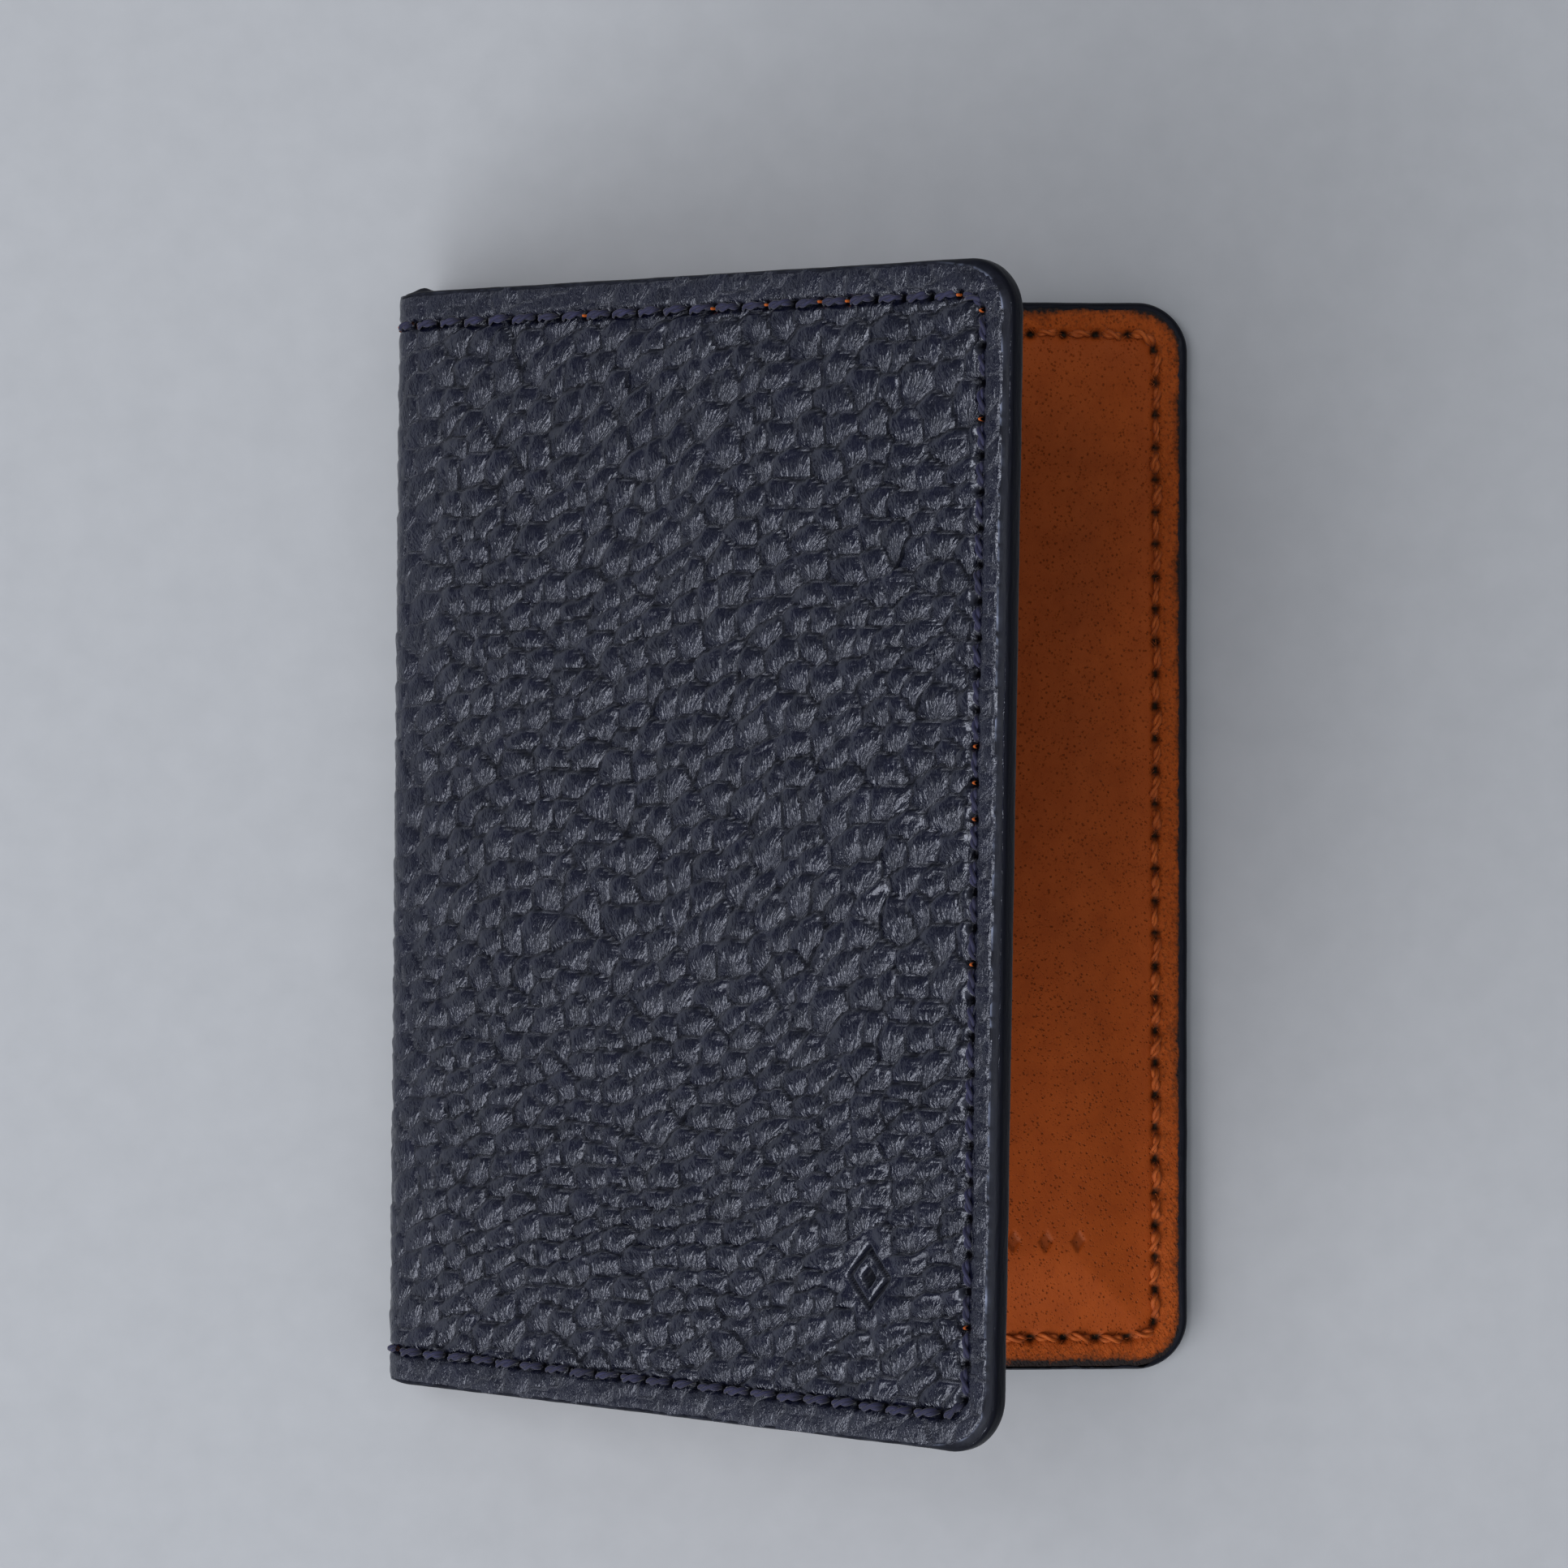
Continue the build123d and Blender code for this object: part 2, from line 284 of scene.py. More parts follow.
NO_SEAM = 9.0  # the distance given for a point that is far from the seam
SEAM_BAND = 2.2


def seam_path(inset, radius, start=-HALF_SPINE, step=0.1):
    """Points and arc lengths along three sides of a cover, in cover coordinates."""
    side, top = COVER_W - inset, HALF_H - inset
    pts = [np.array([start, top])]

    def line(to):
        a, b = pts[-1], np.array(to)
        n = max(1, int(np.linalg.norm(b - a) / step))
        pts.extend(a + (b - a) * k / n for k in range(1, n + 1))

    def arc(centre, a0, a1):
        n = max(4, int(radius * abs(a1 - a0) / step))
        for k in range(1, n + 1):
            a = a0 + (a1 - a0) * k / n
            pts.append(np.array([centre[0] + radius * math.cos(a), centre[1] + radius * math.sin(a)]))

    line((side - radius, top))
    arc((side - radius, top - radius), math.pi / 2, 0)
    line((side, radius - top))
    arc((side - radius, radius - top), 0, -math.pi / 2)
    line((start, -top))
    pts = np.array(pts)
    length = np.concatenate([[0], np.cumsum(np.linalg.norm(np.diff(pts, axis=0), axis=1))])
    return pts, length


SEAM_PTS, SEAM_LEN = seam_path(SEAM_INSET, SEAM_CORNER_R)
STITCHES = round(SEAM_LEN[-1] / PITCH)
STITCH_STEP = SEAM_LEN[-1] / STITCHES


def seam_distance(u, v):
    """Distance from the stitch line and arc length along it."""
    shape = u.shape
    u, v = u.ravel(), v.ravel()
    dist = np.full(u.size, NO_SEAM)
    along = np.zeros(u.size)
    side, top = COVER_W - SEAM_INSET, HALF_H - SEAM_INSET
    rough = np.maximum(u - side, np.abs(v) - top)
    band = np.flatnonzero(np.abs(rough) < SEAM_BAND)
    for chunk in np.array_split(band, max(1, band.size // 2000)):
        if chunk.size == 0:
            continue
        dx = u[chunk, None] - SEAM_PTS[None, :, 0]
        dy = v[chunk, None] - SEAM_PTS[None, :, 1]
        d = dx * dx + dy * dy
        k = d.argmin(1)
        dist[chunk] = np.sqrt(d[np.arange(chunk.size), k])
        along[chunk] = SEAM_LEN[k]
    return dist.reshape(shape), along.reshape(shape)


def rim_distance(u, v):
    """How far inside the cover's outline a point is."""
    qx = u - (COVER_W - CORNER_R)
    qy = np.abs(v) - (HALF_H - CORNER_R)
    outside = np.hypot(np.maximum(qx, 0), np.maximum(qy, 0))
    inside = np.minimum(np.maximum(qx, qy), 0)
    return CORNER_R - outside - inside


def needle_holes(dist, along, radius):
    """1 in the needle holes of the seam and 0 outside them, with a soft rim."""
    offset = np.abs((along / STITCH_STEP + 0.5) % 1 - 0.5) * STITCH_STEP
    return np.exp(-((dist**2 + offset**2) / radius**2) ** 1.5)


# ---- meshes

FINE_STEP = 0.17
LAYOUT_UNIT = 100  # the "layout" map counts in hundreds of millimetres


def grid_faces(rows, columns, flip=False):
    """Quads of a grid of rows by columns points."""
    k = np.arange(rows * columns).reshape(rows, columns)
    quads = np.stack([k[:-1, :-1], k[:-1, 1:], k[1:, 1:], k[1:, :-1]], axis=-1).reshape(-1, 4)
    return quads[:, ::-1] if flip else quads


def new_object(name, data):
    obj = bpy.data.objects.new(name, data)
    bpy.context.scene.collection.objects.link(obj)
    return obj


def build(name, points, quads, layout, fields):
    """A smooth mesh from points in millimetres, with layout coordinates and vertex fields."""
    mesh = bpy.data.meshes.new(name)
    quads = np.ascontiguousarray(quads, dtype=np.int32)
    mesh.vertices.add(len(points))
    mesh.vertices.foreach_set("co", (points * MM_TO_M).astype(np.float32).ravel())
    mesh.loops.add(quads.size)
    mesh.loops.foreach_set("vertex_index", quads.ravel())
    mesh.polygons.add(len(quads))
    mesh.polygons.foreach_set("loop_start", np.arange(0, quads.size, 4, dtype=np.int32))
    mesh.update(calc_edges=True)
    mesh.polygons.foreach_set("use_smooth", np.ones(len(quads), dtype=bool))
    uv = mesh.uv_layers.new(name="layout")
    uv.data.foreach_set("uv", (layout[quads.ravel()] / LAYOUT_UNIT).astype(np.float32).ravel())
    for key, values in fields.items():
        attribute = mesh.attributes.new(key, "FLOAT", "POINT")
        attribute.data.foreach_set("value", np.asarray(values, dtype=np.float32).ravel())
    mesh.validate()
    return new_object(name, mesh)


def spaced(low, high, step, fine_bands, fine_step):
    """Grid lines from low to high, closer together inside the fine bands."""
    lines = [low]
    while lines[-1] < high:
        x = lines[-1]
        fine = any(a - step < x < b for a, b in fine_bands)
        lines.append(x + (fine_step if fine else step))
    lines[-1] = high
    if lines[-1] - lines[-2] < fine_step * 0.4:
        del lines[-2]
    return np.array(lines)


def around(middle, reach):
    return (middle - reach, middle + reach)


def cover_grid(step, inset, start=-HALF_SPINE, fine_u=(), fine_v=(), fine_step=FINE_STEP):
    """u and v on a grid that fills a cover's rounded outline."""
    radius = CORNER_R - inset
    side, top = COVER_W - inset, HALF_H - inset
    u = spaced(start, side, step, fine_u, fine_step)
    v = spaced(-top, top, step, fine_v, fine_step)
    u, v = np.meshgrid(u, v)
    over = np.maximum(np.abs(v) - (top - radius), 0)
    reach = radius - np.sqrt(np.maximum(radius**2 - over**2, 0))
    squeeze = 14.0  # rows that meet a corner are pushed together over this length
    t = np.clip((u - (side - squeeze)) / squeeze, 0, 1)
    return u - reach * t, v


# ---- materials


def put(tree, socket, value):
    """Sets a socket, or links it where the value is another node's output."""
    if isinstance(value, bpy.types.NodeSocket):
        tree.links.new(value, socket)
    else:
        socket.default_value = value


def add_node(tree, kind, inputs, output=0, **settings):
    """A new shader node with its inputs and settings. Gives one of its outputs."""
    n = tree.nodes.new("ShaderNode" + kind)
    for key, value in settings.items():
        setattr(n, key, value)
    for key, value in inputs.items():
        put(tree, n.inputs[key], value)
    return n.outputs[output]


class Nodes:
    """Short hand for building a node material."""

    INPUTS = {
        "color": "Base Color",
        "rough": "Roughness",
        "normal": "Normal",
        "specular": "Specular IOR Level",
        "tint": "Specular Tint",
        "sheen": "Sheen Weight",
        "sheen_rough": "Sheen Roughness",
    }

    def __init__(self, name):
        self.material = bpy.data.materials.new(name)
        self.material.use_nodes = True
        self.tree = self.material.node_tree
        self.tree.nodes.clear()
        out = self.tree.nodes.new("ShaderNodeOutputMaterial")
        self.bsdf = self.tree.nodes.new("ShaderNodeBsdfPrincipled")
        self.tree.links.new(self.bsdf.outputs[0], out.inputs[0])

    def node(self, kind, inputs, output=0, **settings):
        return add_node(self.tree, kind, inputs, output, **settings)

    def layout(self, scale=(1, 1), turn=0.0, source="layout", warp=0.0, warp_size=2.5):
        """Layout coordinates in millimetres, warped, turned and then scaled."""
        where = self.node("UVMap", {}, uv_map=source)
        if warp:
            size = {"Vector": where, "Scale": LAYOUT_UNIT / warp_size, "Detail": 1.0}
            wander = self.node("TexNoise", size, output=1)
            centred = self.node("VectorMath", {0: wander, 1: (0.5, 0.5, 0.5)}, operation="SUBTRACT")
            push = self.node("VectorMath", {0: centred, "Scale": warp / LAYOUT_UNIT}, operation="SCALE")
            where = self.node("VectorMath", {0: where, 1: push}, operation="ADD")
        size = tuple(1 / (LAYOUT_UNIT * s) for s in scale) + (0.01,)
        place = {"Vector": where, "Rotation": (0, 0, turn), "Scale": size}
        return self.node("Mapping", place, vector_type="TEXTURE")

    def field(self, name):
        return self.node("Attribute", {}, output=2, attribute_name=name)

    def math(self, operation, a, b):
        return self.node("Math", {0: a, 1: b}, operation=operation)

    def times(self, a, b):
        return self.math("MULTIPLY", a, b)

    def plus(self, a, b):
        return self.math("ADD", a, b)

    def noise(self, vector, detail, rough=0.5, scale=1.0):
        inputs = {"Vector": vector, "Scale": scale, "Detail": detail, "Roughness": rough}
        return self.node("TexNoise", inputs)

    def voronoi(self, vector):
        return self.node("TexVoronoi", {"Vector": vector, "Scale": 1.0})

    def ramp(self, value, low, high, out_low=0.0, out_high=1.0):
        inputs = {"Value": value, "From Min": low, "From Max": high, "To Min": out_low, "To Max": out_high}
        return self.node("MapRange", inputs, clamp=True)

    def mix(self, share, a, b):
        return self.node("Mix", {0: share, 6: a, 7: b}, output=2, data_type="RGBA")

    def bump(self, height, strength, distance):
        return self.node("Bump", {"Height": height, "Strength": strength, "Distance": distance})

    def set(self, **inputs):
        for key, value in inputs.items():
            put(self.tree, self.bsdf.inputs[self.INPUTS[key]], value)
        return self.material


def rgb(r, g, b):
    """An sRGB colour out of 255, made linear."""

    def linear(c):
        c = c / 255
        return c / 12.92 if c <= 0.04045 else ((c + 0.055) / 1.055) ** 2.4

    return (linear(r), linear(g), linear(b), 1.0)


def navy_leather():
    """Pebbled navy leather: the pebbles are in the mesh, and the wrinkles and pores are here. Painted shade
    darkens the creases and the needle holes.
    """
    n = Nodes("navy_leather")
    crease = n.field("crease")
    wander = n.noise(n.layout((0.35, 0.35)), 2.0)
    fan = n.node("CombineXYZ", {0: n.field("fan_turn"), 1: n.field("fan_reach")})
    pleats = n.noise(fan, 1.5, 0.55)
    fine_pleats = n.noise(fan, 1.0, 0.5, scale=1.9)
    streak = n.noise(n.layout((2.6, 0.9), 0.25, warp=1.2), 2.0, 0.55)
    coarse = n.noise(n.layout((2.0, 1.3), 0.2, warp=0.9, warp_size=1.4), 3.0, 0.62)
    fine = n.noise(n.layout((4.6, 3.4), 0.2, warp=0.6, warp_size=0.9), 2.0, 0.6)
    crinkle = n.plus(n.times(coarse, 0.62), n.times(fine, 0.38))
    folds = n.plus(n.times(pleats, 0.68), n.times(fine_pleats, 0.36))
    folds = n.plus(folds, n.times(streak, 0.35))
    loose = n.times(n.field("slack"), n.math("SUBTRACT", 1.0, n.field("pressed")))
    folds = n.times(folds, loose)
    folds = n.plus(folds, n.times(crinkle, n.field("crinkle")))
    pore = n.voronoi(n.layout((3.6, 3.6), warp=0.3, warp_size=0.6))
    grit = n.noise(n.layout((7, 7)), 2.0, 0.6)
    micro = n.plus(n.times(pore, 0.5), n.times(grit, 0.5))
    normal = n.bump(n.plus(folds, n.times(micro, 0.06)), 1.0, NAVY_BUMP)
    base = n.mix(n.ramp(wander, 0.3, 0.7), rgb(8, 10, 24), rgb(12, 14, 32))
    # Painted shade: the creases are darkened in the base colour, and so is the stamped emblem, which uses the
    # same mask.
    base = n.mix(n.times(crease, 0.85), base, rgb(6, 7, 12))
    # Painted shade: the needle holes and the seam's groove are darkened almost to black.
    base = n.mix(n.field("hole"), base, rgb(5, 5, 8))
    rough = n.ramp(micro, 0.2, 0.7, *NAVY_ROUGH)
    rough = n.plus(rough, n.times(crease, 0.3))
    dull = n.math("MAXIMUM", n.times(crease, 0.9), n.field("hole"))
    gloss = n.times(n.math("SUBTRACT", 1.0, dull), NAVY_GLOSS)
    return n.set(color=base, rough=rough, normal=normal, specular=gloss, tint=(0.82, 0.86, 1.0, 1.0))


def tan_leather():
    """Smooth tan leather with fine pores, darker where the edge paint has soaked in."""
    n = Nodes("tan_leather")
    cloud = n.noise(n.layout((0.09, 0.09)), 3.0, 0.55)
    mottle = n.noise(n.layout((0.55, 0.4)), 4.0, 0.6)
    fibre = n.noise(n.layout((3.0, 1.1), 0.5, warp=0.8), 3.0, 0.6)
    grit = n.noise(n.layout((2.4, 2.4)), 3.0, 0.65)
    pores = n.ramp(n.voronoi(n.layout((2.1, 1.8), 0.35)), 0.10, 0.26, 1.0, 0.0)
    fine_pores = n.ramp(n.voronoi(n.layout((3.4, 3.0), 0.2)), 0.08, 0.26, 0.6, 0.0)
    dots = n.math("MAXIMUM", pores, fine_pores)
    rub = n.field("rub")
    base = n.mix(n.ramp(cloud, 0.3, 0.7), rgb(147, 63, 14), rgb(162, 72, 19))
    base = n.mix(n.ramp(mottle, 0.4, 0.75, 0.0, 0.45), base, rgb(130, 50, 9))
    base = n.mix(n.times(rub, n.ramp(fibre, 0.42, 0.68)), base, rgb(164, 76, 23))
    base = n.mix(n.times(rub, n.ramp(grit, 0.52, 0.72)), base, rgb(84, 38, 12))
    base = n.mix(n.times(dots, 0.55), base, rgb(66, 26, 8))
    base = n.mix(n.times(n.field("stamp"), 0.45), base, rgb(84, 32, 8))
    spread = n.math("SUBTRACT", mottle, 0.5)
    spread = n.plus(spread, n.times(n.math("SUBTRACT", grit, 0.5), 0.8))
    bleed = n.plus(n.field("bleed"), spread)
    base = n.mix(n.ramp(bleed, 0.2, 0.65, 0.0, 0.7), base, rgb(62, 32, 17))
    base = n.mix(n.ramp(bleed, 0.62, 0.8), base, rgb(26, 23, 28))
    # Painted shade: the needle holes and the stitch line are darkened.
    base = n.mix(n.field("hole"), base, rgb(10, 5, 3))
    height = n.times(fibre, n.plus(0.2, rub))
    height = n.plus(height, n.times(grit, n.plus(0.15, n.times(rub, 0.5))))
    height = n.math("SUBTRACT", height, n.times(dots, 0.5))
    normal = n.bump(height, 1.0, 0.00014)
    rough = n.plus(n.ramp(mottle, 0.3, 0.7, 0.46, 0.58), n.times(rub, 0.2))
    return n.set(color=base, rough=rough, normal=normal, specular=0.25, tint=(1.0, 0.8, 0.6, 1.0))


def edge_paint():
    """Satin edge paint, layered by hand, with a pale rim corner that is partly rub wear and partly a painted
    highlight.
    """
    n = Nodes("edge_paint")
    ripple = n.noise(n.layout((0.5, 2.2)), 3.0, 0.55)
    grit = n.noise(n.layout((4, 9)), 2.0, 0.6)
    base = n.mix(n.ramp(ripple, 0.3, 0.7), rgb(8, 9, 16), rgb(14, 15, 25))
    raw = n.mix(n.ramp(grit, 0.35, 0.65), rgb(96, 76, 66), rgb(62, 46, 40))
    base = n.mix(n.field("raw"), base, raw)
    # Pale bluish rim: partly rub wear, partly a painted highlight.
    base = n.mix(n.field("wear"), base, rgb(128, 136, 160))
    height = n.plus(n.times(ripple, 0.7), n.times(grit, 0.15))
    normal = n.bump(height, 0.5, 0.00016)
    rough = n.ramp(ripple, 0.3, 0.7, 0.40, 0.54)
    return n.set(color=base, rough=rough, normal=normal, specular=0.16, tint=(0.8, 0.85, 1.0, 1.0))


def thread(name, dark, light, deep, sheen):
    """Waxed twisted thread: fibres run along each ply."""
    n = Nodes(name)
    fibre = n.noise(n.layout((0.6, 14), source="ply"), 2.0, 0.6)
    tone = n.noise(n.layout((0.5, 0.5)), 1.0)
    base = n.mix(n.ramp(fibre, 0.35, 0.65), dark, light)
    base = n.mix(n.ramp(tone, 0.35, 0.7, 0.0, 0.5), base, dark)
    # Painted shade: the thread is darkened where it dives into its needle holes.
    base = n.mix(n.field("deep"), base, deep)
    normal = n.bump(fibre, 0.6, 0.00006)
    return n.set(color=base, rough=0.62, normal=normal, specular=0.3, sheen=sheen, sheen_rough=0.4)


def board():
    """Grey fibre board, with flecks."""
    n = Nodes("fibre_board")
    fleck = n.noise(n.node("TexCoord", {}, output=3), 3.0, 0.6, scale=900.0)
    base = n.mix(n.ramp(fleck, 0.35, 0.7), rgb(150, 144, 134), rgb(120, 114, 104))
    return n.set(color=base, rough=0.85, normal=n.bump(fleck, 0.5, 0.00005))


NAVY_BUMP = 0.00040  # height of the wrinkles, in metres
NAVY_ROUGH = (0.14, 0.21)
NAVY_GLOSS = 0.86

NAVY = navy_leather()
TAN = tan_leather()
PAINT = edge_paint()
NAVY_THREAD = thread("navy_thread", rgb(20, 21, 42), rgb(42, 43, 80), rgb(4, 4, 8), 0.2)
TAN_THREAD = thread("tan_thread", rgb(140, 60, 14), rgb(206, 104, 34), rgb(30, 12, 5), 0.05)
BOARD = board()


def dress(obj, material, slot, *nodes):
    """Gives a piece its material and hides the CAD nodes that it stands for."""
    obj.data.materials.append(material)
    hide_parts(*nodes)


# ---- outer leather

EMBLEM_FROM_EDGE, EMBLEM_FROM_FOOT = 13.8, 14.7
EMBLEM_U = COVER_W - EMBLEM_FROM_EDGE
EMBLEM_V = HALF_H - EMBLEM_FROM_FOOT  # the front cover's v runs down when it is folded over
EMBLEM_W, EMBLEM_H = 5.2, 6.2
STAMP_DEPTH = 0.60
PAINT_LIP = 0.16
PAINT_FACE = 0.44  # the paint is flush with the border, which the sewing has flattened
PAINT_LAP = 0.75
PAINT_SINK = 0.42  # the leather under the paint lies this far down
LEATHER_FLOOR = 0.90  # the stamped holes stop short of the board
LEATHER_STEP = 0.32
PRESSED_LEVEL = -0.40  # height of leather that sewing or stamping has pressed flat
GROOVE_W, GROOVE_DEPTH = 0.5, 0.26  # the seam's thread pulls the leather in
HOLE_R, HOLE_DEPTH = 0.44, 0.50
CROWN = 0.55  # the front cover is a little domed


def paint_lap(u):
    """How much further the edge paint reaches over the grain face down the free edge."""
    return PAINT_LAP * smooth((u - COVER_W + 9) / 7)


def emblem_relief(u, v):
    """Stamped depth, 0 to 1, and how far the grain around the stamp is pressed flat."""
    a = np.abs(u - EMBLEM_U) / (EMBLEM_W / 2)
    b = np.abs(v - EMBLEM_V) / (EMBLEM_H / 2)
    r = a + b
    ring = smooth((1.0 - r) / 0.10) * smooth((r - 0.70) / 0.10)
    middle = smooth((0.36 - r) / 0.10)
    pressed = 1 - smooth((r - 1.2) / 0.8)
    return np.maximum(ring, middle), pressed


def leather_grid(side):
    """A cover's grid, fine where the seam, the paint's edge and the emblem are."""
    seam_u, seam_v = COVER_W - SEAM_INSET, HALF_H - SEAM_INSET
    fine_u = [around(seam_u, 0.8), (COVER_W - 1.4, COVER_W - 0.6)]
    fine_v = [around(-seam_v, 0.8), around(seam_v, 0.8)]
    if side == "front":
        fine_u.append(around(EMBLEM_U, EMBLEM_W / 2))
        fine_v.append(around(EMBLEM_V, EMBLEM_H / 2))
    past_middle = -HALF_SPINE - 0.3  # the two covers' halves of the spine overlap
    return cover_grid(LEATHER_STEP, PAINT_LIP, start=past_middle, fine_u=fine_u, fine_v=fine_v)


def outer_leather(side):
    """Grained leather from the middle of the spine to the free edge of one cover."""
    u, v = leather_grid(side)
    x, y = to_layout(side, u, v)
    relief, crease, slack, fan = pebbles(-x, y)
    edge = rim_distance(u, v)
    dist, along = seam_distance(u, v)
    border = smooth((SEAM_INSET + 0.5 - edge) / 1.2)
    fold_near = 1 - smooth((u - 1.5) / 7.0)
    flatten = np.clip(0.66 * border + 0.62 * fold_near, 0, 0.85)
    if side == "front":
        stamp, pressed = emblem_relief(u, v)
        flatten = np.maximum(flatten, 0.94 * pressed)
    else:
        stamp, pressed = np.zeros_like(u), np.zeros_like(u)

    level = PRESSED_LEVEL + 0.06 * noise(x / 1.3, y / 1.1, 55) + 0.04 * noise(x / 0.7, y / 0.8, 56)
    height = relief * (1 - flatten) + flatten * level
    groove = bell(dist / GROOVE_W)
    holes = needle_holes(dist, along, HOLE_R)
    height = height * (1 - 0.8 * groove) + 0.8 * groove * level
    height -= GROOVE_DEPTH * groove + HOLE_DEPTH * holes

    # At the rim the leather rolls down and goes under the paint.
    lap = paint_lap(u) + 0.05 * noise(v / 2.2, u / 2.2, 53)
    height = height + (level - height) * smooth((1.0 - edge) / 0.7)
    height -= (0.14 + 0.2 * lap) * np.clip(1 - (edge - PAINT_LIP) / 0.7, 0, 1) ** 2
    height = np.where(edge < PAINT_LIP + lap, np.minimum(height, level - PAINT_SINK), height)

    height -= STAMP_DEPTH * stamp - 0.12 * pressed
    if side == "front":
        height = height + 0.10 * noise(u / 16, v / 16, 51) * smooth(u / 8)
    z = np.minimum(-height, LEATHER_FLOOR)
    if side == "front":
        z = z - CROWN * smooth((edge - SEAM_INSET) / 14.0) * smooth((u - 2) / 14)
    else:
        z = np.maximum(z, 0.0)  # the back cover rests on the table
    obj = build(
        f"outer_leather_{side}",
        folded(x, y, z).reshape(-1, 3),
        grid_faces(*u.shape, flip=True),
        np.stack([-x, y], axis=-1).reshape(-1, 2),
        {
            # crease: how near a crease or the stamped emblem is. navy_leather darkens it as painted shade.
            "crease": np.maximum(crease * (1 - flatten), 0.95 * stamp),
            "slack": slack,
            "fan_turn": fan[0],
            "fan_reach": fan[1],
            "pressed": flatten,
            "crinkle": 0.16 + 0.26 * border + 0.10 * fold_near - 0.30 * pressed * (edge > SEAM_INSET),
            # Painted shade in the needle holes and along the seam's groove.
            "hole": np.clip(1.25 * holes + 0.22 * groove, 0, 1),
        },
    )
    dress(obj, NAVY, "navy_leather", f"{side}_cover_leather", "spine_leather")
    join_fold(obj, side)


# ---- painted edge



def seam_nodes(side, piece):
    """The CAD nodes of a piece that runs on from its cover along both ends of the spine."""
    return f"{side}_{piece}", f"spine_upper_{piece}", f"spine_lower_{piece}"


# How far the paint runs over the inner face, by share of the way round from the first spine end.
# The back cover's head and free edge are heavily covered and its foot hardly at all.
PAINT_REACH = {
    "front": lambda t: 0.9 + 0 * t,
    "back": lambda t: 0.70 + 0.50 * smooth((t - 0.26) / 0.08) - 1.05 * smooth((t - 0.66) / 0.07),
}
EDGE_STEP = 0.32
FOOT_ROW = COVER_W + HALF_SPINE - CORNER_R  # length of the foot's straight edge, from mid-spine
# A dab of paint has dried on the front cover's head by the spine.
NUB_FROM_END, NUB_W, NUB_H = 7.0, 1.0, 0.40


def lining_top(u):
    """Height of the lining's inner face, which steps up from the spine to the cover."""
    return SPINE_T + (LINING_TOP - SPINE_T) * smooth((u - 1.0) / 2.5)


def stack_top(u):
    """Height of the sewn border's inner face above the grain face, stepping up at each pocket."""
    top = lining_top(u) + (WIDE_TOP - LINING_TOP) * smooth((u - WIDE_MOUTH + 0.1) / 0.5)
    return top + (COVER_T - WIDE_TOP) * smooth((u - NARROW_MOUTH + 0.1) / 0.5)


# The painted bead's section, grain side first: inset from the outline, share of the thickness,
# and how far the point follows the paint that is lapped over the grain face.
LAPPED = [(0.75, 0.16, 1), (0.34, 0.012, 1), (0.23, 0.02, 1), (0.16, 0.045, 0.85), (0.10, 0.095, 0.4)]
OUTER = [(0.04, 0.18, 0.1), (0.01, 0.27, 0), (0.0, 0.38, 0), (0.0, 0.52, 0), (0.02, 0.66, 0), (0.07, 0.79, 0)]
INNER = [(0.16, 0.89, 0), (0.28, 0.955, 0), (0.40, 0.99, 0), (0.52, 1, 0), (0.66, 1, 0), (0.9, 0.975, 0)]
EDGE_SECTION = LAPPED + OUTER + INNER
RUBBED_AND_LIT_POINT = 1.8  # the section's corner that is painted pale: partly rub wear, partly a painted highlight


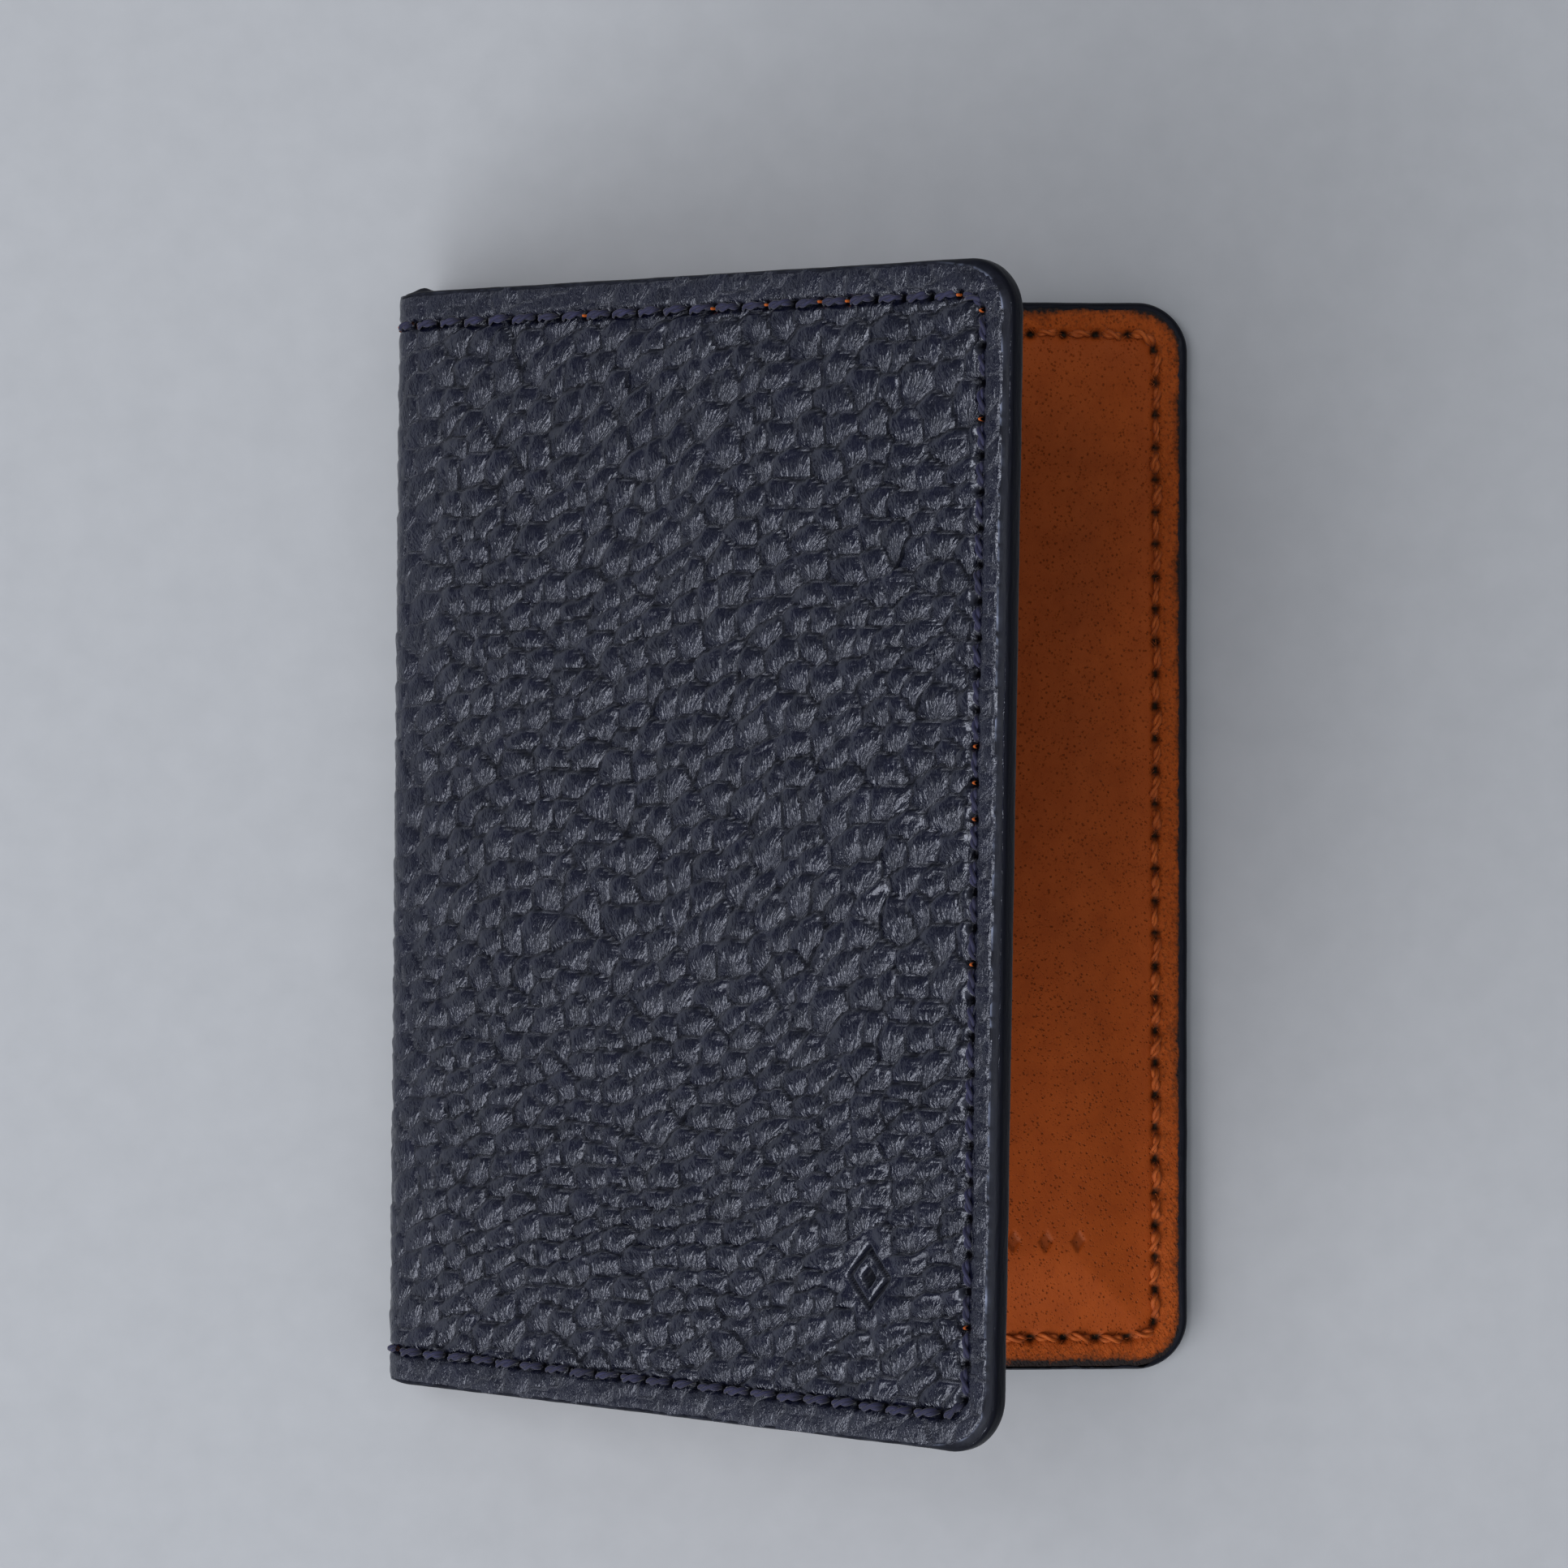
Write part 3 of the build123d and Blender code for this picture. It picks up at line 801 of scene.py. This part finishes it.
def painted_edge(side):
    """Edge paint round one cover and half the spine."""
    pts, length = seam_path(0.0, CORNER_R, step=EDGE_STEP)
    tangent = np.gradient(pts, axis=0)
    tangent /= np.linalg.norm(tangent, axis=1)[:, None]
    outward = np.stack([-tangent[:, 1], tangent[:, 0]], axis=1)
    zero = length * 0
    wobble = noise(length / 6.0, zero + (3 if side == "front" else 9), 61)
    fine_wobble = noise(length / 1.7, zero + (5 if side == "front" else 2), 62)
    ragged = noise(length / 0.55, zero + (4 if side == "front" else 6), 64)
    patchy = 0.30 + 0.9 * noise(length / 2.3, zero + 7, 63) + 0.7 * noise(length / 0.6, zero + 2, 65)
    nub = (length > length[-1] - 12) * bell((length - length[-1] + NUB_FROM_END) / NUB_W)
    lapped = paint_lap(pts[:, 0])
    thin = 0.20 * smooth((3.5 - pts[:, 0]) / 4)
    reach = PAINT_REACH[side](length / length[-1]) - 1 + 0.25 * fine_wobble + 0.30 * ragged
    free = smooth((pts[:, 0] - COVER_W + 9) / 6)
    top = stack_top(pts[:, 0])
    points, wear, raw, layout = [], [], [], []
    for k, (inset, share, follow) in enumerate(EDGE_SECTION):
        lip = max(0.0, inset - 0.2) if share > 0.9 else 0.0
        shift = inset + follow * lapped + 0.04 * wobble + 0.015 * fine_wobble + thin * (share < 0.5)
        shift = shift + lip * np.maximum(reach, -0.9)
        if side == "front":
            shift = shift - NUB_H * nub * smooth((share - 0.3) / 0.3)
        u = pts[:, 0] - outward[:, 0] * shift
        v = pts[:, 1] - outward[:, 1] * shift
        z = PAINT_FACE + share * (top - PAINT_FACE) + 0.02 * fine_wobble * math.sin(math.pi * share)
        if side == "back":
            z = np.maximum(z, 0.0)
        x, y = to_layout(side, u, v)
        points.append(folded(x, y, z))
        # The rim corner is painted pale, strongest down the free edge: partly rub wear, partly a painted
        # highlight.
        rub = math.exp(-(((k - RUBBED_AND_LIT_POINT) / 0.75) ** 2))
        wear.append(np.clip(rub * patchy * (0.10 + 0.90 * free), 0, 1))
        bare = smooth((FOOT_ROW - length) / 9) * smooth((share - 0.45) / 0.12) * smooth((1.0 - share) / 0.1)
        bare = bare * np.clip(0.6 + 0.5 * wobble + 0.35 * ragged, 0, 1)
        raw.append(bare if side == "front" else zero)
        layout.append(np.stack([length, np.full_like(length, k * 0.3)], axis=-1))
    points = np.stack(points, axis=1)
    obj = build(
        f"painted_edge_{side}",
        points.reshape(-1, 3),
        grid_faces(*points.shape[:2], flip=True),
        np.stack(layout, axis=1).reshape(-1, 2),
        {"wear": np.stack(wear, axis=1), "raw": np.stack(raw, axis=1)},
    )
    dress(obj, PAINT, "edge_paint", *seam_nodes(side, "painted_edge"))
    join_fold(obj, side)


# ---- linings and pockets

LAYER_INSET = 0.4  # the inner layers stop short of the painted outline
TAN_HOLE_R = 0.42
MARK_W, MARK_H = 1.6, 2.6
MARK_STEP = 3.2
MARK_COUNT = 9
MARK_FROM_EDGE = 11.0
MARK_V = 12.8 - HALF_H
MARK_DEPTH = 0.26
POCKET_TUCK = 9.0  # the panel is turned under by this much at its mouth
TUCK_COLUMNS, LIP_COLUMNS = 9, 7


def pocket_marks(u, v):
    """Row of small lozenges, stamped near the foot of the back cover's narrow pocket."""
    depth = np.zeros_like(u)
    for k in range(MARK_COUNT):
        centre_u = COVER_W - MARK_FROM_EDGE - k * MARK_STEP
        r = np.abs(u - centre_u) / (MARK_W / 2) + np.abs(v - MARK_V) / (MARK_H / 2)
        depth = np.maximum(depth, smooth((1.0 - r) / 0.30))
    return depth


def tan_fields(u, v, edge, dist, along):
    """What the tan leather's material needs to know about its edges and holes, with painted shade for the
    holes.
    """
    reach = 0.55 + 0.35 * noise(u / 7, v / 7, 57)
    holes = needle_holes(dist, along, TAN_HOLE_R)
    return {
        "bleed": np.exp(-np.maximum(edge - 0.75, 0) / np.maximum(reach, 0.15)),
        # Painted shade in the needle holes and along the stitch line.
        "hole": np.clip(1.3 * holes + 0.2 * bell(dist / 0.3), 0, 1),
        "rub": smooth((SEAM_INSET + 0.9 - edge) / 1.4) * 0.85,
        "stamp": np.zeros_like(u),
    }


def lining(side):
    """Lining from the middle of the spine to the free edge."""
    u, v = cover_grid(0.9, LAYER_INSET, fine_u=[(-HALF_SPINE, 4.0)], fine_step=0.5)
    dist, along = seam_distance(u, v)
    z = lining_top(u) + 0.04 * noise(u / 3, v / 9, 71) - 0.12 * bell(dist / GROOVE_W)
    x, y = to_layout(side, u, v)
    obj = build(
        f"lining_{side}",
        folded(x, y, z).reshape(-1, 3),
        grid_faces(*u.shape),
        np.stack([x, y], axis=-1).reshape(-1, 2),
        tan_fields(u, v, rim_distance(u, v), dist, along),
    )
    dress(obj, TAN, "tan_lining", f"{side}_lining", "spine_lining")
    join_fold(obj, side)


def pocket_grid(start, fine, marked):
    """A pocket panel's grid. The panel in front is fine at its seam, and at its marks."""
    seam_u, seam_v = COVER_W - SEAM_INSET, HALF_H - SEAM_INSET
    fine_u = [around(seam_u, 0.7)] if fine else []
    fine_v = [around(-seam_v, 0.7), around(seam_v, 0.7)] if fine else []
    if marked:
        last = COVER_W - MARK_FROM_EDGE
        fine_u.append((last - MARK_COUNT * MARK_STEP, last + MARK_W))
        fine_v.append(around(MARK_V, MARK_H / 2))
    step = 0.45 if fine else 0.8
    return cover_grid(step, LAYER_INSET, start=start, fine_u=fine_u, fine_v=fine_v, fine_step=0.2)


def turned_mouth(mouth, thickness, lip_top):
    """Columns of u, z and dye that turn a panel's mouth under: the tucked part, then the lip."""
    lip_r = thickness / 2
    tuck = POCKET_TUCK * np.arange(TUCK_COLUMNS, 0, -1) / TUCK_COLUMNS
    turn = -math.pi / 2 - math.pi * np.arange(LIP_COLUMNS) / (LIP_COLUMNS - 1)
    u = mouth + lip_r + np.concatenate([tuck, lip_r * np.cos(turn)])
    drop = np.concatenate([np.full(TUCK_COLUMNS, thickness), lip_r - lip_r * np.sin(turn)])
    bleed = np.concatenate([np.zeros(TUCK_COLUMNS), np.ones(LIP_COLUMNS)])
    rows = np.ones_like(lip_top)
    return u * rows, lip_top - drop, bleed * rows


def pocket(side, name, mouth, border_top, thickness, rise):
    """A pocket panel: it wraps round its mouth, rises inside its sewn border and sags a little."""
    marked = name == "narrow" and side == "back"
    u, v = pocket_grid(mouth + thickness / 2, name == "narrow", marked)
    edge = rim_distance(u, v)
    dist, along = seam_distance(u, v)
    top = border_top + rise * 0.85 * smooth((edge - 3.4) / 8.5)
    top = top + 0.05 * noise(u / 9, v / 9, 81) * smooth((edge - 4) / 4)
    holes = needle_holes(dist, along, TAN_HOLE_R)
    pucker = bell(dist / 1.2) * np.cos(2 * np.pi * along / STITCH_STEP)
    top = top - 0.22 * bell(dist / GROOVE_W) - 0.5 * holes - 0.06 * pucker - 0.10 * smooth((1.2 - edge) / 0.8)
    top = top + 0.05 * noise(u / 0.9, v / 1.0, 58) * smooth((SEAM_INSET + 0.6 - edge) / 1.0)
    creased_line = bell((u - mouth - 1.8) / 0.22) * smooth((edge - SEAM_INSET) / 1.0)
    top = top - 0.10 * creased_line
    fields = tan_fields(u, v, edge, dist, along)
    if marked:
        fields["stamp"] = pocket_marks(u, v)
        top = top - MARK_DEPTH * fields["stamp"]
    fields["bleed"] = np.maximum(fields["bleed"], np.exp(-np.maximum(u - mouth - 0.25, 0) / 0.2))

    # The turned mouth ends where the panel's own first column is.
    mouth_u, mouth_z, mouth_bleed = turned_mouth(mouth, thickness, top[:, :1])
    u_all = np.concatenate([mouth_u, u[:, 1:]], 1)
    v_all = np.concatenate([np.repeat(v[:, :1], mouth_u.shape[1], 1), v[:, 1:]], 1)
    z_all = np.concatenate([mouth_z, top[:, 1:]], 1)
    for key, values in fields.items():
        start = mouth_bleed if key == "bleed" else np.zeros_like(mouth_u)
        fields[key] = np.concatenate([start, values[:, 1:]], 1)
    x, y = to_layout(side, u_all, v_all)
    obj = build(
        f"{name}_pocket_{side}",
        folded(x, y, z_all).reshape(-1, 3),
        grid_faces(*u_all.shape),
        np.stack([x + 200 * (name == "narrow"), y], axis=-1).reshape(-1, 2),
        fields,
    )
    dress(obj, TAN, "tan_pocket", f"{side}_{name}_pocket")
    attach(obj, f"{side}_cover")


# ---- threads

PLY_SIDES = 6
STITCH_RINGS = 15
LAY = 2.7  # the plies make one turn in this length
STITCH_DIVE = 0.75  # a stitch's ends go this far into their holes
FRONT_THREAD_R, BACK_THREAD_R, BOBBIN_R = 0.37, 0.30, 0.38
FUZZ_R = 0.035
FUZZ_RINGS = 6
PEEK_R = 0.13
PEEK_RINGS = 9


class Strands:
    """Round strands in cover coordinates, gathered into one mesh."""

    def __init__(self, side):
        self.side = side
        self.verts, self.quads, self.ply, self.lay, self.deep = [], [], [], [], []
        self.count = 0

    def add(self, u, v, z, across, radius, along, deep):
        """A tube along u, v, z. across is the unit vector beside it in the cover's plane."""
        ring = np.linspace(0, 2 * np.pi, PLY_SIDES, endpoint=False)
        ca, sa = np.cos(ring)[None, :], np.sin(ring)[None, :]
        r = np.broadcast_to(radius, u.shape)[:, None]
        ru = u[:, None] + across[0][:, None] * r * ca
        rv = v[:, None] + across[1][:, None] * r * ca
        rz = z[:, None] + r * sa
        x, y = to_layout(self.side, ru, rv)
        rings = len(u)
        k = self.count + np.arange(rings * PLY_SIDES).reshape(rings, PLY_SIDES)
        nxt = np.roll(k, -1, axis=1)
        self.verts.append(folded(x, y, rz).reshape(-1, 3))
        self.quads.append(np.stack([k[:-1], nxt[:-1], nxt[1:], k[1:]], axis=-1).reshape(-1, 4))
        self.count += rings * PLY_SIDES
        turn = np.repeat(ring[None, :] / np.pi, rings, 0)
        self.ply.append(np.stack([np.repeat(along[:, None], PLY_SIDES, 1), turn], -1).reshape(-1, 2))
        self.lay.append(np.stack([x, y], -1).reshape(-1, 2))
        self.deep.append(np.repeat(deep[:, None], PLY_SIDES, 1).ravel())

    def finish(self, name):
        verts, quads, lay = (np.concatenate(parts) for parts in (self.verts, self.quads, self.lay))
        obj = build(name, verts, quads, lay, {"deep": np.concatenate(self.deep)})
        uv = obj.data.uv_layers.new(name="ply")
        flat = np.concatenate(self.ply)
        loops = np.zeros(len(obj.data.loops), dtype=np.int32)
        obj.data.loops.foreach_get("vertex_index", loops)
        uv.data.foreach_set("uv", (flat[loops] / LAYOUT_UNIT).astype(np.float32).ravel())
        return obj


def seam_frame(s):
    """Position on the seam at arc length s and the unit vector across it."""
    u, v = (np.interp(s, SEAM_LEN, w) for w in SEAM_PTS.T)
    near = 0.05  # the seam's direction is taken between two points this far to either side
    s = np.clip(s, near, SEAM_LEN[-1] - near)
    du, dv = (np.interp(s + near, SEAM_LEN, w) - np.interp(s - near, SEAM_LEN, w) for w in SEAM_PTS.T)
    length = np.hypot(du, dv)
    return u, v, (-dv / length, du / length)


def stitch_run(strands, surface, outward, radius, lift, plump, uneven, seed):
    """Every stitch of one seam as two twisted plies that dive into the needle holes.
    lift and plump give the height of the thread at an arc length along the seam."""
    share = np.linspace(0, 1, STITCH_RINGS)
    for i in range(STITCHES):
        chance = hashed(np.full(6, i), np.arange(6), seed) - 0.5
        trim = 0.20 + 0.12 * uneven * (chance[4] + 0.5)
        s = (i + trim / STITCH_STEP + (1 - 2 * trim / STITCH_STEP) * share) * STITCH_STEP
        middle = (i + 0.5) * STITCH_STEP
        u, v, across = seam_frame(s)
        slant = (0.16 + 0.2 * uneven * chance[0]) * (1 - 2 * share) + 0.12 * uneven * chance[1]
        u = u + across[0] * slant
        v = v + across[1] * slant
        arch = 1 - np.abs(2 * share - 1) ** 2.6
        rise = lift(middle) + plump(middle) * arch * (1 + 0.5 * uneven * chance[2])
        height = surface(u, v) + outward * (rise - STITCH_DIVE * (1 - arch) ** 1.6)
        fat = radius * (0.72 + 0.28 * np.sqrt(np.clip(arch, 0, 1))) * (1 + 0.2 * uneven * chance[5])
        twist = 2 * np.pi * (s / LAY + chance[3])
        for ply in (0, 1):
            phase = twist + ply * np.pi
            beside = fat * 0.5 * np.cos(phase)
            strands.add(
                u + across[0] * beside,
                v + across[1] * beside,
                height + outward * fat * 0.42 * np.sin(phase),
                across,
                fat * 0.60,
                s + i * 0.37,
                # painted shade where the stitch dives into its holes
                (1 - arch) ** 2.2,
            )


def fuzz(strands, surface, outward, per_stitch, seed):
    """Loose fibres that stand off the thread."""
    share = np.linspace(0, 1, FUZZ_RINGS)
    for i in range(STITCHES * per_stitch):
        chance = hashed(np.full(6, i), np.arange(6), seed)
        s0 = STITCH_STEP * (i / per_stitch + 0.7 * chance[0])
        u, v, across = seam_frame(np.full(FUZZ_RINGS, s0) + share * (chance[1] - 0.5) * 1.2)
        aside = (chance[2] - 0.5) * (0.5 + 1.4 * share)
        rise = 0.16 + 0.36 * np.sin(np.pi * share * (0.5 + 0.5 * chance[3])) * (0.4 + 0.6 * chance[4])
        strands.add(
            u + across[0] * aside,
            v + across[1] * aside,
            surface(u, v) + outward * rise,
            across,
            FUZZ_R * (1 - 0.5 * share),
            s0 + share,
            np.zeros(FUZZ_RINGS),
        )


def peeks(strands, surface, chances, seed):
    """The inner thread showing in some of the outer needle holes."""
    turn = np.linspace(0, np.pi, PEEK_RINGS)
    for i in range(1, STITCHES):
        chance = hashed(np.full(3, i), np.arange(3), seed)
        if chance[0] > chances(i * STITCH_STEP):
            continue
        u, v, across = seam_frame(np.full(PEEK_RINGS, i * STITCH_STEP) + 0.17 * np.cos(turn))
        strands.add(
            u + across[0] * 0.12 * (chance[1] - 0.5),
            v + across[1] * 0.12 * (chance[1] - 0.5),
            surface(u, v) + 0.42 - (0.30 + 0.18 * chance[2]) * np.sin(turn),
            across,
            np.full(PEEK_RINGS, PEEK_R),
            0.3 * turn,
            np.zeros(PEEK_RINGS),
        )


def outer_surface(u, v):
    """Grain face under the top thread, where the sewing has sunk it."""
    return np.full(np.shape(u), 0.34)


def inner_surface(u, v):
    """Inner face under the bobbin thread."""
    return stack_top(u) - 0.08


ROW_END = COVER_W - SEAM_INSET + HALF_SPINE  # arc length at which the first row ends
LAST_ROW = SEAM_LEN[-1] - ROW_END  # and at which the last one starts


def front_plump(s):
    """The front thread is plump in its first row and by the fold, and flat down the free edge."""
    first = 1 - smooth((s - ROW_END + 3) / 4)
    last = smooth((s - LAST_ROW) / 30)
    return 0.30 * max(first, 0.8 * last)


def front_lift(s):
    """It stands prouder in both rows than down the free edge, and lies low across the spine."""
    rows = max(1 - smooth((s - ROW_END + 3) / 4), smooth((s - LAST_ROW) / 20))
    ends = 1 - smooth((min(s, SEAM_LEN[-1] - s) - 5.5) / 4)
    return -0.20 + 0.17 * rows - 0.34 * ends


def front_peeks(s):
    """How often the inner thread shows: mostly along the head, seldom along the foot."""
    if s > LAST_ROW - 6:
        return 0.42
    return 0.05 if s < ROW_END - 6 else 0.16


def top_thread(side):
    strands = Strands(side)
    if side == "front":
        stitch_run(strands, outer_surface, -1, FRONT_THREAD_R, front_lift, front_plump, 1.0, 101)
    else:
        stitch_run(strands, outer_surface, -1, BACK_THREAD_R, lambda s: -0.08, lambda s: 0.02, 1.0, 101)
    obj = strands.finish(f"top_thread_{side}")
    dress(obj, NAVY_THREAD, "navy_thread", *seam_nodes(side, "top_thread"))
    join_fold(obj, side)


def bobbin_thread(side):
    strands = Strands(side)
    stitch_run(strands, inner_surface, 1, BOBBIN_R, lambda s: 0.02, lambda s: 0.24, 2.4, 202)
    fuzz(strands, inner_surface, 1, 5, 303)
    peeks(strands, outer_surface, front_peeks if side == "front" else lambda s: 0.1, 404)
    obj = strands.finish(f"bobbin_thread_{side}")
    dress(obj, TAN_THREAD, "tan_thread", *seam_nodes(side, "bobbin_thread"))
    join_fold(obj, side)


for side in ("back", "front"):
    outer_leather(side)
    painted_edge(side)
    lining(side)
    pocket(side, "wide", WIDE_MOUTH, WIDE_TOP, WIDE_TOP - LINING_TOP, WIDE_RISE)
    pocket(side, "narrow", NARROW_MOUTH, COVER_T, COVER_T - WIDE_TOP, NARROW_RISE)
    top_thread(side)
    bobbin_thread(side)
    stiffener = frame["nodes"][f"{side}_stiffener"]
    stiffener.data.materials.clear()
    stiffener.data.materials.append(BOARD)

# ---- stage, in metres

FLOOR = 3.0
# Soft boxes: position, target, size and power.
LIGHTS = {
    "key": ((-0.99, -0.57, 0.81), (0, 0, 0.02), (0.76, 0.76), 7.4),
    "low key": ((-0.50, -0.94, 0.70), (0, 0, 0), (0.6, 0.55), 5.4),
    "fill": ((-0.46, 0.10, 1.05), (0, 0, 0), (0.5, 0.5), 4.6),
}
SKY_COLOUR = (0.93, 0.96, 1.0, 1)
SKY_AT_HORIZON, SKY_OVERHEAD = 0.02, 0.56
SKY_LEAN = (-0.13, -0.17, 0.0)  # the sky is brighter on the lights' side
CAMERA_PLACE = (-0.0341, 0.0050, 0.5251)
CAMERA_TILT = (0.01, -3.48, 0.02)  # degrees, from looking straight down
CAMERA_LENS = 122.7


def floor():
    """A plain pale floor with a faint speck, so that it isn't one flat colour."""
    n = Nodes("studio_floor")
    speck = n.noise(n.node("TexCoord", {}, output=3), 3.0, 0.6, scale=240.0)
    base = n.mix(n.ramp(speck, 0.3, 0.7), rgb(170, 173, 179), rgb(174, 177, 183))
    mesh = bpy.data.meshes.new("floor")
    corners = [(-FLOOR, -FLOOR, 0), (FLOOR, -FLOOR, 0), (FLOOR, FLOOR, 0), (-FLOOR, FLOOR, 0)]
    mesh.from_pydata(corners, [], [(0, 1, 2, 3)])
    mesh.materials.append(n.set(color=base, rough=0.9, specular=0.1))
    new_object("floor", mesh)


def area_light(name, position, target, size, power):
    data = bpy.data.lights.new(name, "AREA")
    data.shape = "RECTANGLE"
    data.size, data.size_y = size
    data.energy = power
    obj = new_object(name, data)
    obj.location = position
    obj.rotation_mode = "QUATERNION"
    obj.rotation_quaternion = (Vector(target) - Vector(position)).to_track_quat("-Z", "Y")


def sky():
    """Even light from above that fades towards the horizon."""
    world = bpy.data.worlds.new("studio")
    world.use_nodes = True
    tree = world.node_tree
    direction = add_node(tree, "TexCoord", {}, output="Generated")
    height = add_node(tree, "SeparateXYZ", {0: direction}, output="Z")
    climb = {"Value": height, "To Min": SKY_AT_HORIZON, "To Max": SKY_OVERHEAD}
    power = add_node(tree, "MapRange", climb, interpolation_type="SMOOTHSTEP")
    lean = add_node(tree, "VectorMath", {0: direction, 1: SKY_LEAN}, output="Value", operation="DOT_PRODUCT")
    power = add_node(tree, "Math", {0: lean, 1: power, 2: power}, operation="MULTIPLY_ADD")
    background = tree.nodes["Background"]
    put(tree, background.inputs["Color"], SKY_COLOUR)
    put(tree, background.inputs["Strength"], power)
    bpy.context.scene.world = world


def camera():
    data = bpy.data.cameras.new("camera")
    data.sensor_width = 36.0
    data.lens = CAMERA_LENS
    obj = new_object("camera", data)
    obj.location = CAMERA_PLACE
    obj.rotation_euler = tuple(math.radians(a) for a in CAMERA_TILT)
    bpy.context.scene.camera = obj


floor()
for name, settings in LIGHTS.items():
    area_light(name, *settings)
sky()
camera()
bpy.context.scene.view_settings.view_transform = "Standard"
